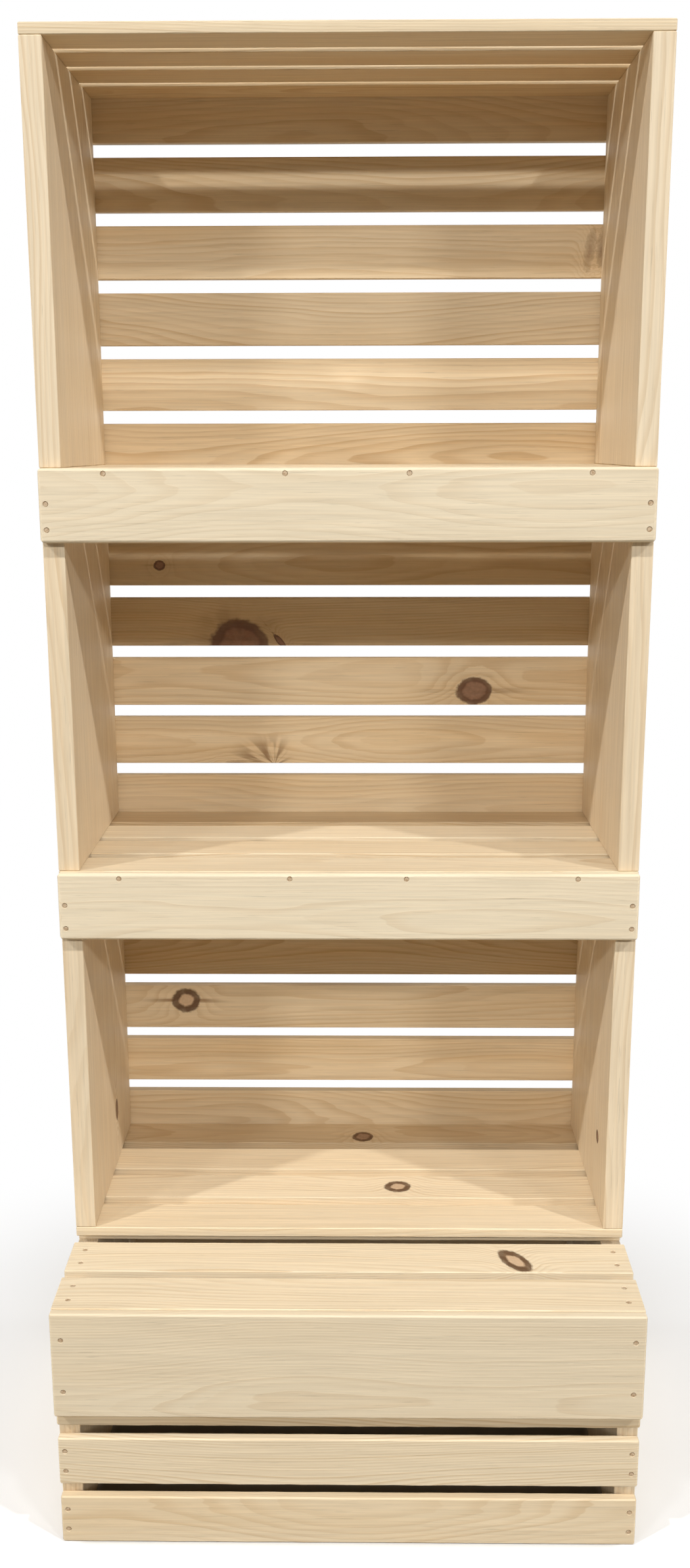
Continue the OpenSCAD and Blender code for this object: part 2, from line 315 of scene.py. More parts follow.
def knot_streaks(tree, along, across, oval, far, grain, kind, flare_share):
    """The flares along the grain, the rays of a burst knot and the plume of a curly figure."""
    streaky = fade(tree, noise(tree, grain, (14, 300, 300), 3.0), 0.36, 0.6)
    lengthwise = fade(tree, calc(tree, "ABSOLUTE", along), FLARE_END, FLARE_START)
    crosswise = fade(tree, calc(tree, "ABSOLUTE", across), 0.04, 0.34, 1.0, 0.0)
    flare = product(tree, lengthwise, crosswise, streaky, fade(tree, far, 0.8, 1.1), flare_share)
    angle = calc(tree, "ARCTAN2", across, along)
    around = add_node(tree, "ShaderNodeCombineXYZ", {0: angle, 1: product(tree, far, 0.5)}).outputs[0]
    spokes = fade(tree, noise(tree, around, (1.7, 1.0, 1.0)), 0.42, 0.62, 0.12, 0.6)
    rays = product(tree, spokes, fade(tree, far, 1.9, 0.8), kind["burst"])
    feathers = fade(tree, noise(tree, around, (2.6, 1.8, 1.0)), 0.44, 0.60)
    plume = product(tree, feathers, fade(tree, oval, 1.1, 0.35), fade(tree, along, 0.4, 0.0), kind["curly"])
    return calc(tree, "MAXIMUM", flare, calc(tree, "MAXIMUM", rays, plume))


def knot(tree, name, grain, flare_share):
    """The masks of one knot: its rim, core, fill and streaks, and how much it pushes the rings aside."""
    vector, along, across, number = read_board(tree, name)
    kind = knot_kind(tree, number)
    flat = vector_math(tree, "MULTIPLY", vector, (1, 1, 0))
    oval, far = knot_outline(tree, flat, grain, kind)
    rim, core = knot_disc(tree, flat, far, kind)
    bell = calc(tree, "POWER", calc(tree, "DIVIDE", far, SWELL_WIDTH), 2.0)
    return {
        "far": far,
        "rim": rim,
        "core": core,
        "fill": kind["fill"],
        "faint": kind["faint"],
        "streaks": knot_streaks(tree, along, across, oval, far, grain, kind, flare_share),
        "swell": calc(tree, "EXPONENT", product(tree, bell, -1.0)),
        "mottle": noise(tree, flat, (3.0, 3.0, 1), 3.0, 0.6),
    }


print("knots: rim, core, streaks and swell")

# %% [markdown]
# ## Pine, step 2: growth rings
# A board is a slice of a log, and its figure is where its faces cut the year rings. So the rings are made
# as in the tree, as tubes round a wandering pith, and each board carries how far its points lie from that
# pith. Faces, edges and ends then agree, as they do in timber: arches on a board from near the side of
# the log, straight lines elsewhere.

# %% Growth rings
RING_MM = 2.7
PITH_WANDER = {"across": (1.7, 0.024), "through": (1.3, 0.05)}
RIPPLE_M, SWELL_M = 0.006, 0.010


def wandering(tree, along, pace, reach):
    """A shift that changes slowly along the board."""
    sockets = {"W": product(tree, along, pace), "Scale": 1.0, "Detail": 1.0}
    cloud = add_node(tree, "ShaderNodeTexNoise", sockets, noise_dimensions="1D").outputs[0]
    return product(tree, calc(tree, "SUBTRACT", cloud, 0.5), reach)


def growth_rings(tree, grain, swells):
    """How far a point is into the dark late wood of its year, from 0 to 1."""
    _, along, across, through = read_board(tree, "grain")
    across = calc(tree, "ADD", across, wandering(tree, along, *PITH_WANDER["across"]))
    through = calc(tree, "ADD", through, wandering(tree, along, *PITH_WANDER["through"]))
    squares = [calc(tree, "POWER", value, 2.0) for value in (across, through)]
    radius = calc(tree, "SQRT", calc(tree, "ADD", *squares))
    ripple = noise(tree, grain, (5.0, 40.0, 40.0), 2.0)
    radius = calc(tree, "ADD", radius, product(tree, calc(tree, "SUBTRACT", ripple, 0.5), RIPPLE_M))
    for swell in swells:
        radius = calc(tree, "ADD", radius, product(tree, swell, SWELL_M))
    years = calc(tree, "DIVIDE", radius, RING_MM / 1000)
    part = calc(tree, "FRACT", years)
    year = {"W": calc(tree, "FLOOR", years)}
    strong = add_node(tree, "ShaderNodeTexWhiteNoise", year, noise_dimensions="1D").outputs["Value"]
    rise = product(tree, fade(tree, part, 0.30, 0.88), fade(tree, part, 1.0, 0.93))
    return product(tree, rise, between(tree, strong, 0.35, 1.0))


print("growth rings:", RING_MM, "mm apart")

# %% [markdown]
# ## Pine, step 3: the whole finish
# Bare planed pine is cream, with honey late wood, fine fibres and broad warmer and cooler streaks. Boards
# differ, so each carries its own tone, and on some boards the tone also holds painted light and shade.
# Ends drink light and look darker, eased edges are rubbed paler, and the surface has a slight relief,
# because soft early wood wears more than late wood. The relief uses the same rings and fibres as the
# colour.

# %% The pine finish
BARK_BROWN = (0.095, 0.042, 0.014, 1)
SOFT_BARK = (0.120, 0.050, 0.020, 1)
KNOT_RED = (0.25, 0.110, 0.062, 1)
KNOT_PALE = (0.64, 0.45, 0.28, 1)
STREAK_BROWN = (0.25, 0.13, 0.050, 1)
STREAK_COVER, CORE_COVER, RIM_COVER = 0.8, 0.88, 0.94
KNOT_YEARS = 26
RELIEF_M, RELIEF_STRENGTH = 0.0004, 0.45
SHEEN, END_DULLNESS = 0.35, 0.15
PINE_COLOURS = {
    "pine_slat": ((0.82, 0.695, 0.500, 1), (0.63, 0.455, 0.255, 1), (0.90, 0.78, 0.62, 1)),
    "pine_side": ((0.81, 0.685, 0.500, 1), (0.64, 0.475, 0.285, 1), (0.90, 0.79, 0.65, 1)),
    "pine_board": ((0.83, 0.715, 0.525, 1), (0.67, 0.510, 0.320, 1), (0.92, 0.83, 0.72, 1)),
}


def knot_colours(tree, masks):
    """The colours of one knot's core and of its bark."""
    fill, faint = masks["fill"], masks["faint"]
    core = mix_colours(tree, fill, KNOT_PALE, KNOT_RED)
    core = mix_colours(tree, faint, core, STREAK_BROWN)
    dark_share = product(tree, between(tree, fill, 0.08, 0.55), fade(tree, masks["mottle"], 0.35, 0.65))
    core = mix_colours(tree, dark_share, core, SOFT_BARK)
    years = fade(tree, calc(tree, "SINE", product(tree, masks["far"], KNOT_YEARS)), -1, 1)
    core = mix_colours(tree, product(tree, years, between(tree, fill, 0.06, 0.25)), core, SOFT_BARK)
    bark = mix_colours(tree, fill, BARK_BROWN, SOFT_BARK)
    return core, mix_colours(tree, faint, bark, STREAK_BROWN)


def pine(name, early, late, warm):
    """Bare pine in three colours: early wood, late wood and the warm streaks."""
    made = bpy.data.materials.new(name)
    made.use_nodes = True
    tree = made.node_tree
    shader = tree.nodes["Principled BSDF"]
    grain, *_ = read_board(tree, "grain")
    _, tone, warmth, contrast = read_board(tree, "character")
    _, end, edge, flare_share = read_board(tree, "rim")
    knots = [knot(tree, f"knot_{k}", grain, flare_share) for k in (1, 2)]
    rings = growth_rings(tree, grain, [masks["swell"] for masks in knots])

    fibres = noise(tree, grain, (9, 520, 520), 4.0, 0.62)
    planed = noise(tree, grain, (7, 170, 170), 2.0)
    streaks = noise(tree, grain, (2.4, 26, 26), 3.0, 0.55)
    canals = fade(tree, noise(tree, grain, (26, 900, 900), 2.0), 0.64, 0.74)

    colour = mix_colours(tree, product(tree, rings, contrast), early, late)
    warm_share = product(tree, fade(tree, streaks, 0.35, 0.7, 0.55, 1.0), warmth)
    colour = mix_colours(tree, warm_share, colour, warm, "MULTIPLY")
    # The tone scales the colour; on some boards it is painted light or painted shade.
    shades = [
        fade(tree, fibres, 0.25, 0.75, 0.93, 1.05),
        tone,
        fade(tree, planed, 0.3, 0.7, 0.965, 1.03),
        between(tree, canals, 1.0, 0.86),
        between(tree, end, 1.0, 0.80),
        between(tree, edge, 1.0, 1.05),
    ]
    scaled = {0: colour, "Scale": product(tree, *shades)}
    colour = add_node(tree, "ShaderNodeVectorMath", scaled, operation="SCALE").outputs[0]
    for masks in knots:
        core, bark = knot_colours(tree, masks)
        colour = mix_colours(tree, product(tree, masks["streaks"], STREAK_COVER), colour, STREAK_BROWN)
        colour = mix_colours(tree, product(tree, masks["core"], CORE_COVER), colour, core)
        colour = mix_colours(tree, product(tree, masks["rim"], RIM_COVER), colour, bark)
    tree.links.new(colour, shader.inputs["Base Color"])

    roughness = fade(tree, fibres, 0.25, 0.75, 0.66, 0.50)
    roughness = calc(tree, "ADD", roughness, product(tree, end, END_DULLNESS))
    tree.links.new(roughness, shader.inputs["Roughness"])
    shader.inputs["Specular IOR Level"].default_value = SHEEN
    height = calc(tree, "ADD", product(tree, rings, 0.45), product(tree, fibres, 0.8))
    height = calc(tree, "SUBTRACT", height, product(tree, canals, 0.25))
    relief = {"Height": height, "Strength": RELIEF_STRENGTH, "Distance": RELIEF_M}
    tree.links.new(add_node(tree, "ShaderNodeBump", relief).outputs[0], shader.inputs["Normal"])
    return made


PINE = {slot: pine("bare_" + slot, *colours) for slot, colours in PINE_COLOURS.items()}
print("pine:", {slot: len(m.node_tree.nodes) for slot, m in PINE.items()}, "nodes each")

# %% [markdown]
# ## Nails and screws
# The nails are plain wire nails, set a little below the face, and the measured frame already holds each
# one. They only need a finish: dull steel that has browned where the damp wood touches it, so that a nail
# is a soft brown speck.

# %% Steel
RUST_SPOTS = (420, 420, 420)
PITTING = {"Strength": 0.3, "Distance": 0.0001}


def steel(name, bright, rust):
    """Dull steel with rusty spots."""
    made = bpy.data.materials.new(name)
    made.use_nodes = True
    tree = made.node_tree
    shader = tree.nodes["Principled BSDF"]
    place = add_node(tree, "ShaderNodeTexCoord").outputs["Object"]
    spots = noise(tree, place, RUST_SPOTS, 3.0, 0.6)
    colour = mix_colours(tree, fade(tree, spots, 0.38, 0.68), bright, rust)
    tree.links.new(colour, shader.inputs["Base Color"])
    tree.links.new(fade(tree, spots, 0.3, 0.7, 0.42, 0.75), shader.inputs["Roughness"])
    shader.inputs["Metallic"].default_value = 0.25
    bump = add_node(tree, "ShaderNodeBump", {"Height": spots} | PITTING).outputs[0]
    tree.links.new(bump, shader.inputs["Normal"])
    return made


NAIL_STEEL = steel("nail_steel", (0.56, 0.43, 0.29, 1), (0.40, 0.26, 0.14, 1))
SCREW_STEEL = steel("screw_steel", (0.55, 0.50, 0.40, 1), (0.33, 0.26, 0.16, 1))
NAIL_NODES = [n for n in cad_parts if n.endswith("_nails")]
for name in NAIL_NODES:
    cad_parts[name].data.materials.clear()
    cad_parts[name].data.materials.append(NAIL_STEEL)
print("nails:", NAIL_NODES)

# %% [markdown]
# ## Shaping a board
# On the real stand every board has been through a planer and had its edges eased by sanding. A cube at
# the board's size is the start. Its long edges are divided, so that the edge can waver a little, and all
# sharp edges get a round bevel. A Bevel modifier would do the same, but the operator leaves a mesh that
# can be measured at once.

# %% A plank with eased edges
SEGMENT_M = 0.0125
EASE_STEPS = 3
SHARP_ANGLE = math.radians(60)
TINY = 1e-6
AXES = {"wall": (0, 2, 1), "shelf": (0, 1, 2), "side": (2, 1, 0)}


def pick(piece):
    """Makes one object the only one that operators act on."""
    bpy.ops.object.select_all(action="DESELECT")
    piece.select_set(True)
    bpy.context.view_layer.objects.active = piece


def plank(name, low, high, along, ease):
    """A straight board between two corners with its grain along one axis, all its edges eased."""
    bpy.ops.object.select_all(action="DESELECT")
    bpy.ops.mesh.primitive_cube_add(size=1, location=(low + high) / 2, scale=high - low)
    board = bpy.context.active_object
    board.name = board.data.name = name
    bpy.ops.object.transform_apply(location=True, rotation=True, scale=True)
    bpy.ops.object.mode_set(mode="EDIT")
    bpy.ops.mesh.select_mode(type="EDGE")
    bpy.ops.mesh.select_all(action="DESELECT")
    shape = bmesh.from_edit_mesh(board.data)
    for edge in shape.edges:
        edge.select_set(abs(edge.verts[0].co[along] - edge.verts[1].co[along]) > TINY)
    bmesh.update_edit_mesh(board.data)
    bpy.ops.mesh.subdivide(number_cuts=round((high - low)[along] / SEGMENT_M))
    bpy.ops.mesh.select_all(action="DESELECT")
    bpy.ops.mesh.edges_select_sharp(sharpness=SHARP_ANGLE)
    bpy.ops.mesh.bevel(offset=ease, segments=EASE_STEPS, profile=0.5, affect="EDGES")
    bpy.ops.object.mode_set(mode="OBJECT")
    return board


print("planks are cut every", SEGMENT_M * 1000, "mm along the grain")

# %% [markdown]
# ## Nail holes
# A driven nail crushes the wood round its head, which leaves a shallow cone. A cutter in that shape is
# placed at each nail, the cutters are joined, and one Boolean takes them all out of the board.

# %% Nail holes
MOUTH_R, HOLE_R, HOLE_DEPTH, PROUD = 0.0030, 0.0023, 0.00145, 0.0003
HOLE_SIDES = 20


def sink(board, places, facing, mouth=MOUTH_R, bottom=HOLE_R, depth=HOLE_DEPTH):
    """Takes a tapered hole out of a board at each place. Facing is the way that the heads look."""
    facing = Vector(facing)
    turn = facing.to_track_quat("Z", "Y").to_euler()
    top = mouth + (mouth - bottom) * PROUD / depth
    cutters = []
    for place in places:
        middle = Vector(place) + facing * (PROUD - depth) / 2
        bpy.ops.mesh.primitive_cone_add(
            vertices=HOLE_SIDES,
            radius1=bottom,
            radius2=top,
            depth=depth + PROUD,
            location=middle,
            rotation=turn,
        )
        cutters.append(bpy.context.active_object)
    pick(cutters[0])
    for cutter in cutters:
        cutter.select_set(True)
    bpy.ops.object.join()
    cut = board.modifiers.new("nail_holes", "BOOLEAN")
    cut.operation, cut.solver, cut.object = "DIFFERENCE", "EXACT", cutters[0]
    pick(board)
    bpy.ops.object.modifier_apply(modifier=cut.name)
    bpy.data.objects.remove(cutters[0])
    return board


def pairs(low, high, in_from_end, in_from_edge, across, face):
    """Two nails at each end of a slat, across its width. Face is the nailed face's axis and place."""
    found = []
    for x in (low.x + in_from_end, high.x - in_from_end):
        for side in (low[across] + in_from_edge, high[across] - in_from_edge):
            place = Vector((x, 0, 0))
            place[across] = side
            place[face[0]] = face[1]
            found.append(place)
    return found


print("nail holes:", HOLE_DEPTH * 1000, "mm deep")

# %% [markdown]
# ## Copies and their numbers
# Boards of one kind are modelled once and copied, and then each copy gets numbers of its own for the
# finish: its place in the log, its tone, and its knots. A UV map can't hold that much, so the numbers go
# on the mesh as attributes. They stay with the board when several are joined into one piece.

# %% Copies and their numbers
FAR_AWAY = (9.0, 9.0, 0.0)
WIDE_BOARD = 0.1
PITH_SHARE, PITH_ACROSS, PITH_THROUGH, LOG_SPAN = 0.4, 0.07, (0.03, 0.10), 90
TONE, CONTRAST = (0.95, 1.04), (0.4, 0.7)
CONTRAST_SHARE = {"pine_slat": 1.0, "pine_side": 0.9, "pine_board": 0.62}
WARMTH = {"wall": (0.6, 1.0), "shelf": (0.1, 0.45), "side": (0.2, 0.6)}


def copy_to(board, name, shift):
    """A copy of a board with its own mesh, moved by a shift."""
    pick(board)
    bpy.ops.object.duplicate(linked=False)
    made = bpy.context.active_object
    made.name = made.data.name = name
    bpy.ops.transform.translate(value=shift)
    bpy.ops.object.transform_apply(location=True, rotation=True, scale=True)
    return made


def write(board, name, values):
    """Three numbers for each point of a board's mesh, under a name."""
    made = board.data.attributes.new(name, "FLOAT_VECTOR", "POINT")
    made.data.foreach_set("vector", np.ascontiguousarray(values, np.float32).ravel())


def write_timber(board, points, seed, lie, slot):
    """Where the board was in its log, and its tone, warmth and contrast."""
    chance = random.Random(seed)
    axes = list(AXES[lie])
    low, high = points.min(0), points.max(0)
    wide = (high - low)[axes[1]]
    if wide > WIDE_BOARD:
        pith_across = chance.uniform(-PITH_SHARE, PITH_SHARE) * wide
    else:
        pith_across = chance.uniform(-PITH_ACROSS, PITH_ACROSS)
    pith_through = chance.choice((-1, 1)) * chance.uniform(*PITH_THROUGH)
    along_log = chance.uniform(0, LOG_SPAN)
    write(board, "grain", (points - (low + high) / 2)[:, axes] + (along_log, pith_across, pith_through))
    tone = chance.uniform(*TONE)
    warmth = chance.uniform(*WARMTH[lie])
    contrast = chance.uniform(*CONTRAST) * CONTRAST_SHARE[slot]
    # Listed tones and warmths replace the drawn ones; many of them are painted light and shade.
    tone, warmth = TONES_WITH_PAINTED_LIGHT.get(seed, (tone, warmth))
    write(board, "character", np.tile((tone, warmth, contrast), (len(points), 1)))


def write_knots(board, points, knots, lie):
    """How far each point lies from each knot, in radii along and across the grain, and the knot's kind."""
    axes = list(AXES[lie][:2])
    for k in (0, 1):
        values = np.tile(FAR_AWAY, (len(points), 1))
        if k < len(knots):
            at_along, at_across, half_along, half_across, turn, kind = knots[k]
            off = points[:, axes] - (at_along, at_across)
            cosine, sine = math.cos(math.radians(turn)), math.sin(math.radians(turn))
            values[:, 0] = (off[:, 0] * cosine + off[:, 1] * sine) / half_along
            values[:, 1] = (off[:, 1] * cosine - off[:, 0] * sine) / half_across
            values[:, 2] = kind
        write(board, f"knot_{k + 1}", values)


print("numbers on each board: grain, character, knot_1, knot_2, rim")

# %% [markdown]
# ## Worn edges
# Sanding by hand leaves an edge that wavers by a fraction of a millimetre, and bump in a finish can't
# change an outline. So a Displace modifier moves the points of the eased edges by a cloud pattern. The
# pattern is fixed in space, so no two copies of a board come out the same. Weighted normals then keep the
# broad faces flat.

# %% Worn edges
WAVER_SHARE, WAVER_MOST, WAVER_MIDDLE = 0.65, 0.0011, 0.75
WAVER_LENGTH = 0.018
SMOOTH_ANGLE = math.radians(40)
waver = bpy.data.textures.new("hand_sanding", "CLOUDS")
waver.noise_scale = WAVER_LENGTH


def wear(board, rounding, ease):
    """Lets a board's eased edges waver, and shades it smooth."""
    group = board.vertex_groups.new(name="rounding")
    group.add(np.flatnonzero(rounding).tolist(), 1.0, "REPLACE")
    push = board.modifiers.new("wear", "DISPLACE")
    push.texture, push.texture_coords, push.vertex_group = waver, "GLOBAL", group.name
    push.strength, push.mid_level = min(WAVER_SHARE * ease, WAVER_MOST), WAVER_MIDDLE
    pick(board)
    bpy.ops.object.modifier_apply(modifier=push.name)
    board.vertex_groups.clear()
    bpy.ops.object.shade_smooth_by_angle(angle=SMOOTH_ANGLE)
    even = board.modifiers.new("flat_faces", "WEIGHTED_NORMAL")
    even.keep_sharp = True
    bpy.ops.object.modifier_apply(modifier=even.name)


def make_own(board, seed, lie, ease, slot="pine_slat"):
    """Writes a board's numbers on its mesh, marks its ends and eased edges, and wears them."""
    points = np.array([v.co for v in board.data.vertices])
    flare, *knots = KNOTS.get(seed, (0.0,))
    write_timber(board, points, seed, lie, slot)
    write_knots(board, points, knots, lie)
    depth = np.minimum(points - points.min(0), points.max(0) - points)
    rounding = (depth < ease - 10 * TINY).sum(1) > 1
    ends = depth[:, AXES[lie][0]] < TINY
    write(board, "rim", np.stack([ends, rounding, np.full(len(points), flare)], 1))
    wear(board, rounding, ease)
    return board


print("wear pattern:", WAVER_LENGTH * 1000, "mm")

# %% [markdown]
# ## Putting pieces in their places
# A finished board takes its material, moves with the stand, and stands for its measured part, which is
# then hidden. Where the frame keeps several slats as one part, the boards are joined first.

# %% Placing and joining
def place_piece(piece, slot, *nodes):
    """Gives a finished piece its material, and puts it in the place of its node."""
    piece.data.materials.clear()
    piece.data.materials.append(PINE[slot])
    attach(piece, "root")
    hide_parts(*nodes)
    return piece


def join_boards(boards):
    """Several boards as one piece, named as the first."""
    pick(boards[0])
    for board in boards:
        board.select_set(True)
    bpy.ops.object.join()
    return boards[0]


def visual(node):
    """The name of the board that stands for a node."""
    return node + "_board"


# %% [markdown]
# ## Knots of this stand
# The knots are what makes one stand recognisable, so each large one is put where it belongs. A board is
# listed with the strength of its flares and up to two knots. A knot is its place along and across the
# board, as coordinates of the stand in metres, its two half sizes, its turn in degrees and its kind. The
# boards that show most also have a tone and a warmth of their own, which also paint light and shade:
# slats in the crates' shade get darker, browner tones, and some lit slats and inner sides lighter ones.

# %% Where the knots are
KNOTS = {
    "lower_back_slat_3": (1.0, (-0.207, 0.460, 0.0165, 0.0145, 0, 0.1)),
    "middle_back_slat_3": (0.7, (0.149, 0.8555, 0.0215, 0.0165, 0, 1.0)),
    "middle_back_slat_4": (
        0.8,
        (-0.132, 0.909, 0.0360, 0.0330, 0, 1.3),
        (-0.083, 0.915, 0.0110, 0.0035, -50, 1.0),
    ),
    "middle_back_slat_2": (
        0.0,
        (-0.091, 0.764, 0.0620, 0.0430, 0, -1.0),
        (-0.136, 0.7655, 0.0150, 0.0050, 0, 3.0),
    ),
    "middle_back_slat_5": (0.5, (-0.224, 1.005, 0.0070, 0.0060, 0, 1.0)),
    "upper_back_slat_4": (
        0.0,
        (0.2695, 1.3550, 0.0062, 0.0230, -8, 2.6),
        (0.2815, 1.3545, 0.0050, 0.0180, -3, 2.6),
    ),
    "base_ledge_slat_2": (0.1, (0.181, -0.1055, 0.0230, 0.0116, -57, 0.05)),
    "lower_floor_slat_2": (0.2, (0.057, 0.036, 0.0145, 0.0118, 0, 0.15)),
    "lower_floor_slat_4": (0.3, (0.016, 0.1625, 0.0130, 0.0125, 0, 0.75)),
    "lower_side_right": (0.0, (0.374, 0.001, 0.0078, 0.0075, 0, 0.9)),
    "lower_side_left": (0.0, (0.357, 0.102, 0.0135, 0.0075, 0, 0.9)),
}
# Tones under 0.95 are painted shade on slats that lie in shade: the top back slats, the rear floor slats
# and the top slats. Raised tones on some lit back slats and inner sides are painted light.
TONES_WITH_PAINTED_LIGHT = {
    "upper_back_slat_6": (0.91, 1.0),
    "upper_back_slat_5": (0.90, 1.0),
    "upper_back_slat_4": (0.94, 0.9),
    "upper_back_slat_3": (0.98, 0.6),
    "upper_back_slat_2": (1.12, 0.5),
    "upper_back_slat_1": (1.04, 0.7),
    "middle_back_slat_5": (0.88, 1.0),
    "middle_back_slat_4": (0.89, 1.0),
    "middle_back_slat_3": (1.04, 0.85),
    "middle_back_slat_2": (1.05, 0.9),
    "middle_back_slat_1": (1.06, 0.8),
    "lower_back_slat_4": (0.86, 1.0),
    "lower_back_slat_2": (1.05, 0.85),
    "middle_floor_slat_4": (0.92, 0.8),
    "lower_floor_slat_4": (0.92, 0.8),
    "upper_side_left": (1.02, 0.25),
    "middle_side_left": (1.03, 0.4),
    "middle_side_right": (1.02, 0.4),
    "lower_side_left": (1.0, 0.4),
    "upper_top_slat_1": (0.98, 0.45),
    "upper_top_slat_2": (0.92, 1.0),
    "upper_top_slat_3": (0.92, 1.0),
    "upper_top_slat_4": (0.94, 1.0),
    "upper_lip": (0.98, 0.2),
    "middle_lip": (1.0, 0.15),
    "base_ledge_slat_1": (0.99, 0.2),
    "base_ledge_slat_2": (1.0, 0.15),
    "base_front_board": (0.96, 0.4),
    "base_front_slat_1": (1.0, 0.6),
    "base_front_slat_2": (1.0, 0.25),
}
print("knots on", len(KNOTS), "boards")

# %% [markdown]
# ## Side panels
# Each crate has two thick solid sides with upright grain. The slats are nailed over their edges, so the
# panels carry no nail heads of their own. The two sides of the base are lower and deeper.

# %% Side panels
SIDE_EASE = 0.0010
CRATES = ("lower", "middle", "upper")

for pattern_node, nodes in (
    ("upper_side_left", [f"{crate}_side_{side}" for crate in CRATES for side in ("left", "right")]),
    ("base_side_left", ["base_side_left", "base_side_right"]),
):
    low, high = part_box(pattern_node)
    pattern = plank("side_pattern", low, high, 2, SIDE_EASE)
    for node in nodes:
        side = copy_to(pattern, visual(node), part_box(node)[0] - low)
        place_piece(make_own(side, node, "side", SIDE_EASE, "pine_side"), "pine_side", node)
    bpy.data.objects.remove(pattern)
    print("sides:", nodes)

# %% [markdown]
# ## Back slats
# Six slats close the back of each crate. They are nailed from behind, so their nail heads show on the
# back only.

# %% Back slats
SLAT_EASE = 0.0010
NAIL_EDGE, WALL_ROW = 0.016, 0.007
low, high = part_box("upper_back_slat_1")
pattern = plank("back_slat_pattern", low, high, 0, SLAT_EASE)
sink(pattern, pairs(low, high, WALL_ROW, NAIL_EDGE, 2, (1, high.y)), (0, 1, 0))
back_nodes = [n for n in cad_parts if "_back_slat_" in n]
for node in back_nodes:
    slat = copy_to(pattern, visual(node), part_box(node)[0] - low)
    place_piece(make_own(slat, node, "wall", SLAT_EASE), "pine_slat", node)
bpy.data.objects.remove(pattern)
print("back slats:", len(back_nodes))

# %% [markdown]
# ## Floor slats
# Floors and tops are made of the same slat, with open gaps between them that let crumbs and water
# through. Floor slats are nailed from below, so the holes go into the lower face and nothing shows from
# above.

# %% Floor slats
SHELF_ROW = 0.015
low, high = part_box("upper_floor_slat_1")
pattern = plank("floor_slat_pattern", low, high, 0, SLAT_EASE)
sink(pattern, pairs(low, high, SHELF_ROW, NAIL_EDGE, 1, (2, low.z)), (0, 0, -1))
floor_nodes = [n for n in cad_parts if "_floor_slat_" in n]
for node in floor_nodes:
    slat = copy_to(pattern, visual(node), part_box(node)[0] - low)
    place_piece(make_own(slat, node, "shelf", SLAT_EASE), "pine_slat", node)
bpy.data.objects.remove(pattern)
print("floor slats:", len(floor_nodes))

# %% [markdown]
# ## Top slats
# Top slats are nailed from above. The tops of the two lower crates lie hidden under the next crate's
# floor, and a countersunk screw goes up through two slats of each, so those slats also get a cone for the
# screw heads on their lower faces. Each place is kept in a list, because the screws themselves are made
# later.

# %% Top slats
SCREW_HEAD_R, SCREW_R = 0.0036, 0.0018
SCREW_X = 0.223
HEAD_ROOM, SHANK_ROOM, COUNTERSINK = 0.0004, 0.0003, 0.0021
SCREWED_SLATS = (2, 4)
screw_places = []


def screw_holes(slat, y, face_z):
    """Countersinks a slat's lower face for its two stacking screws, and notes their places."""
    places = [(x, y, face_z) for x in (-SCREW_X, SCREW_X)]
    screw_places.extend(places)
    sink(slat, places, (0, 0, -1), SCREW_HEAD_R + HEAD_ROOM, SCREW_R + SHANK_ROOM, COUNTERSINK)


low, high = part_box("upper_top_slat_1")
pattern = plank("top_slat_pattern", low, high, 0, SLAT_EASE)
sink(pattern, pairs(low, high, SHELF_ROW, NAIL_EDGE, 1, (2, high.z)), (0, 0, 1))
shifts = [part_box(f"upper_top_slat_{i}")[0] - low for i in (1, 2, 3, 4)]
for i, shift in enumerate(shifts, 1):
    node = f"upper_top_slat_{i}"
    slat = copy_to(pattern, visual(node), shift)
    place_piece(make_own(slat, node, "shelf", SLAT_EASE), "pine_slat", node)
for node in ("middle_top_slats", "lower_top_slats"):
    drop = Vector((0, 0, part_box(node)[0].z - low.z))
    slats = []
    for i, shift in enumerate(shifts, 1):
        slat = copy_to(pattern, visual(node) if i == 1 else f"{node}_{i}", shift + drop)
        if i in SCREWED_SLATS:
            screw_holes(slat, (low.y + high.y) / 2 + shift.y, low.z + drop.z)
        slats.append(make_own(slat, f"{node}_{i}", "shelf", SLAT_EASE))
    place_piece(join_boards(slats), "pine_slat", node)
bpy.data.objects.remove(pattern)
print("top slats:", 3 * len(shifts), "in", len(shifts) + 2, "pieces")

# %% [markdown]
# ## Lip boards
# A lip runs along the front of the two upper floors and keeps goods from sliding out. Its edges are more
# rounded than those of a slat. Four nails along the top go into the floor slat behind, and two at each
# end into the crate below.

# %% Lips
LIP_EASE = 0.0032
LIP_NAIL_X = (0.061, 0.240)
LIP_NAIL_DROP = 0.0055
LIP_END_RISE = (0.01275, 0.03825)
low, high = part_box("upper_lip")
pattern = plank("lip_pattern", low, high, 0, LIP_EASE)
along_top = [(way * x, low.y, high.z - LIP_NAIL_DROP) for way in (-1, 1) for x in LIP_NAIL_X]
end_x = high.x - WALL_ROW
at_ends = [(way * end_x, low.y, low.z + rise) for way in (-1, 1) for rise in LIP_END_RISE]
sink(pattern, along_top + at_ends, (0, -1, 0))
for node in ("upper_lip", "middle_lip"):
    lip = copy_to(pattern, visual(node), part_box(node)[0] - low)
    place_piece(make_own(lip, node, "wall", LIP_EASE, "pine_board"), "pine_board", node)
bpy.data.objects.remove(pattern)
print("lips: 2, eased by", LIP_EASE * 1000, "mm")

# %% [markdown]
# ## The base
# The base is a box of the same slats: four across the front, four across the back and six along the top.
# A wide board lies over the two upper front slats, with the ledge level with its upper edge. Slats that
# show are pieces of their own, and those that the board or the crates cover go in groups.

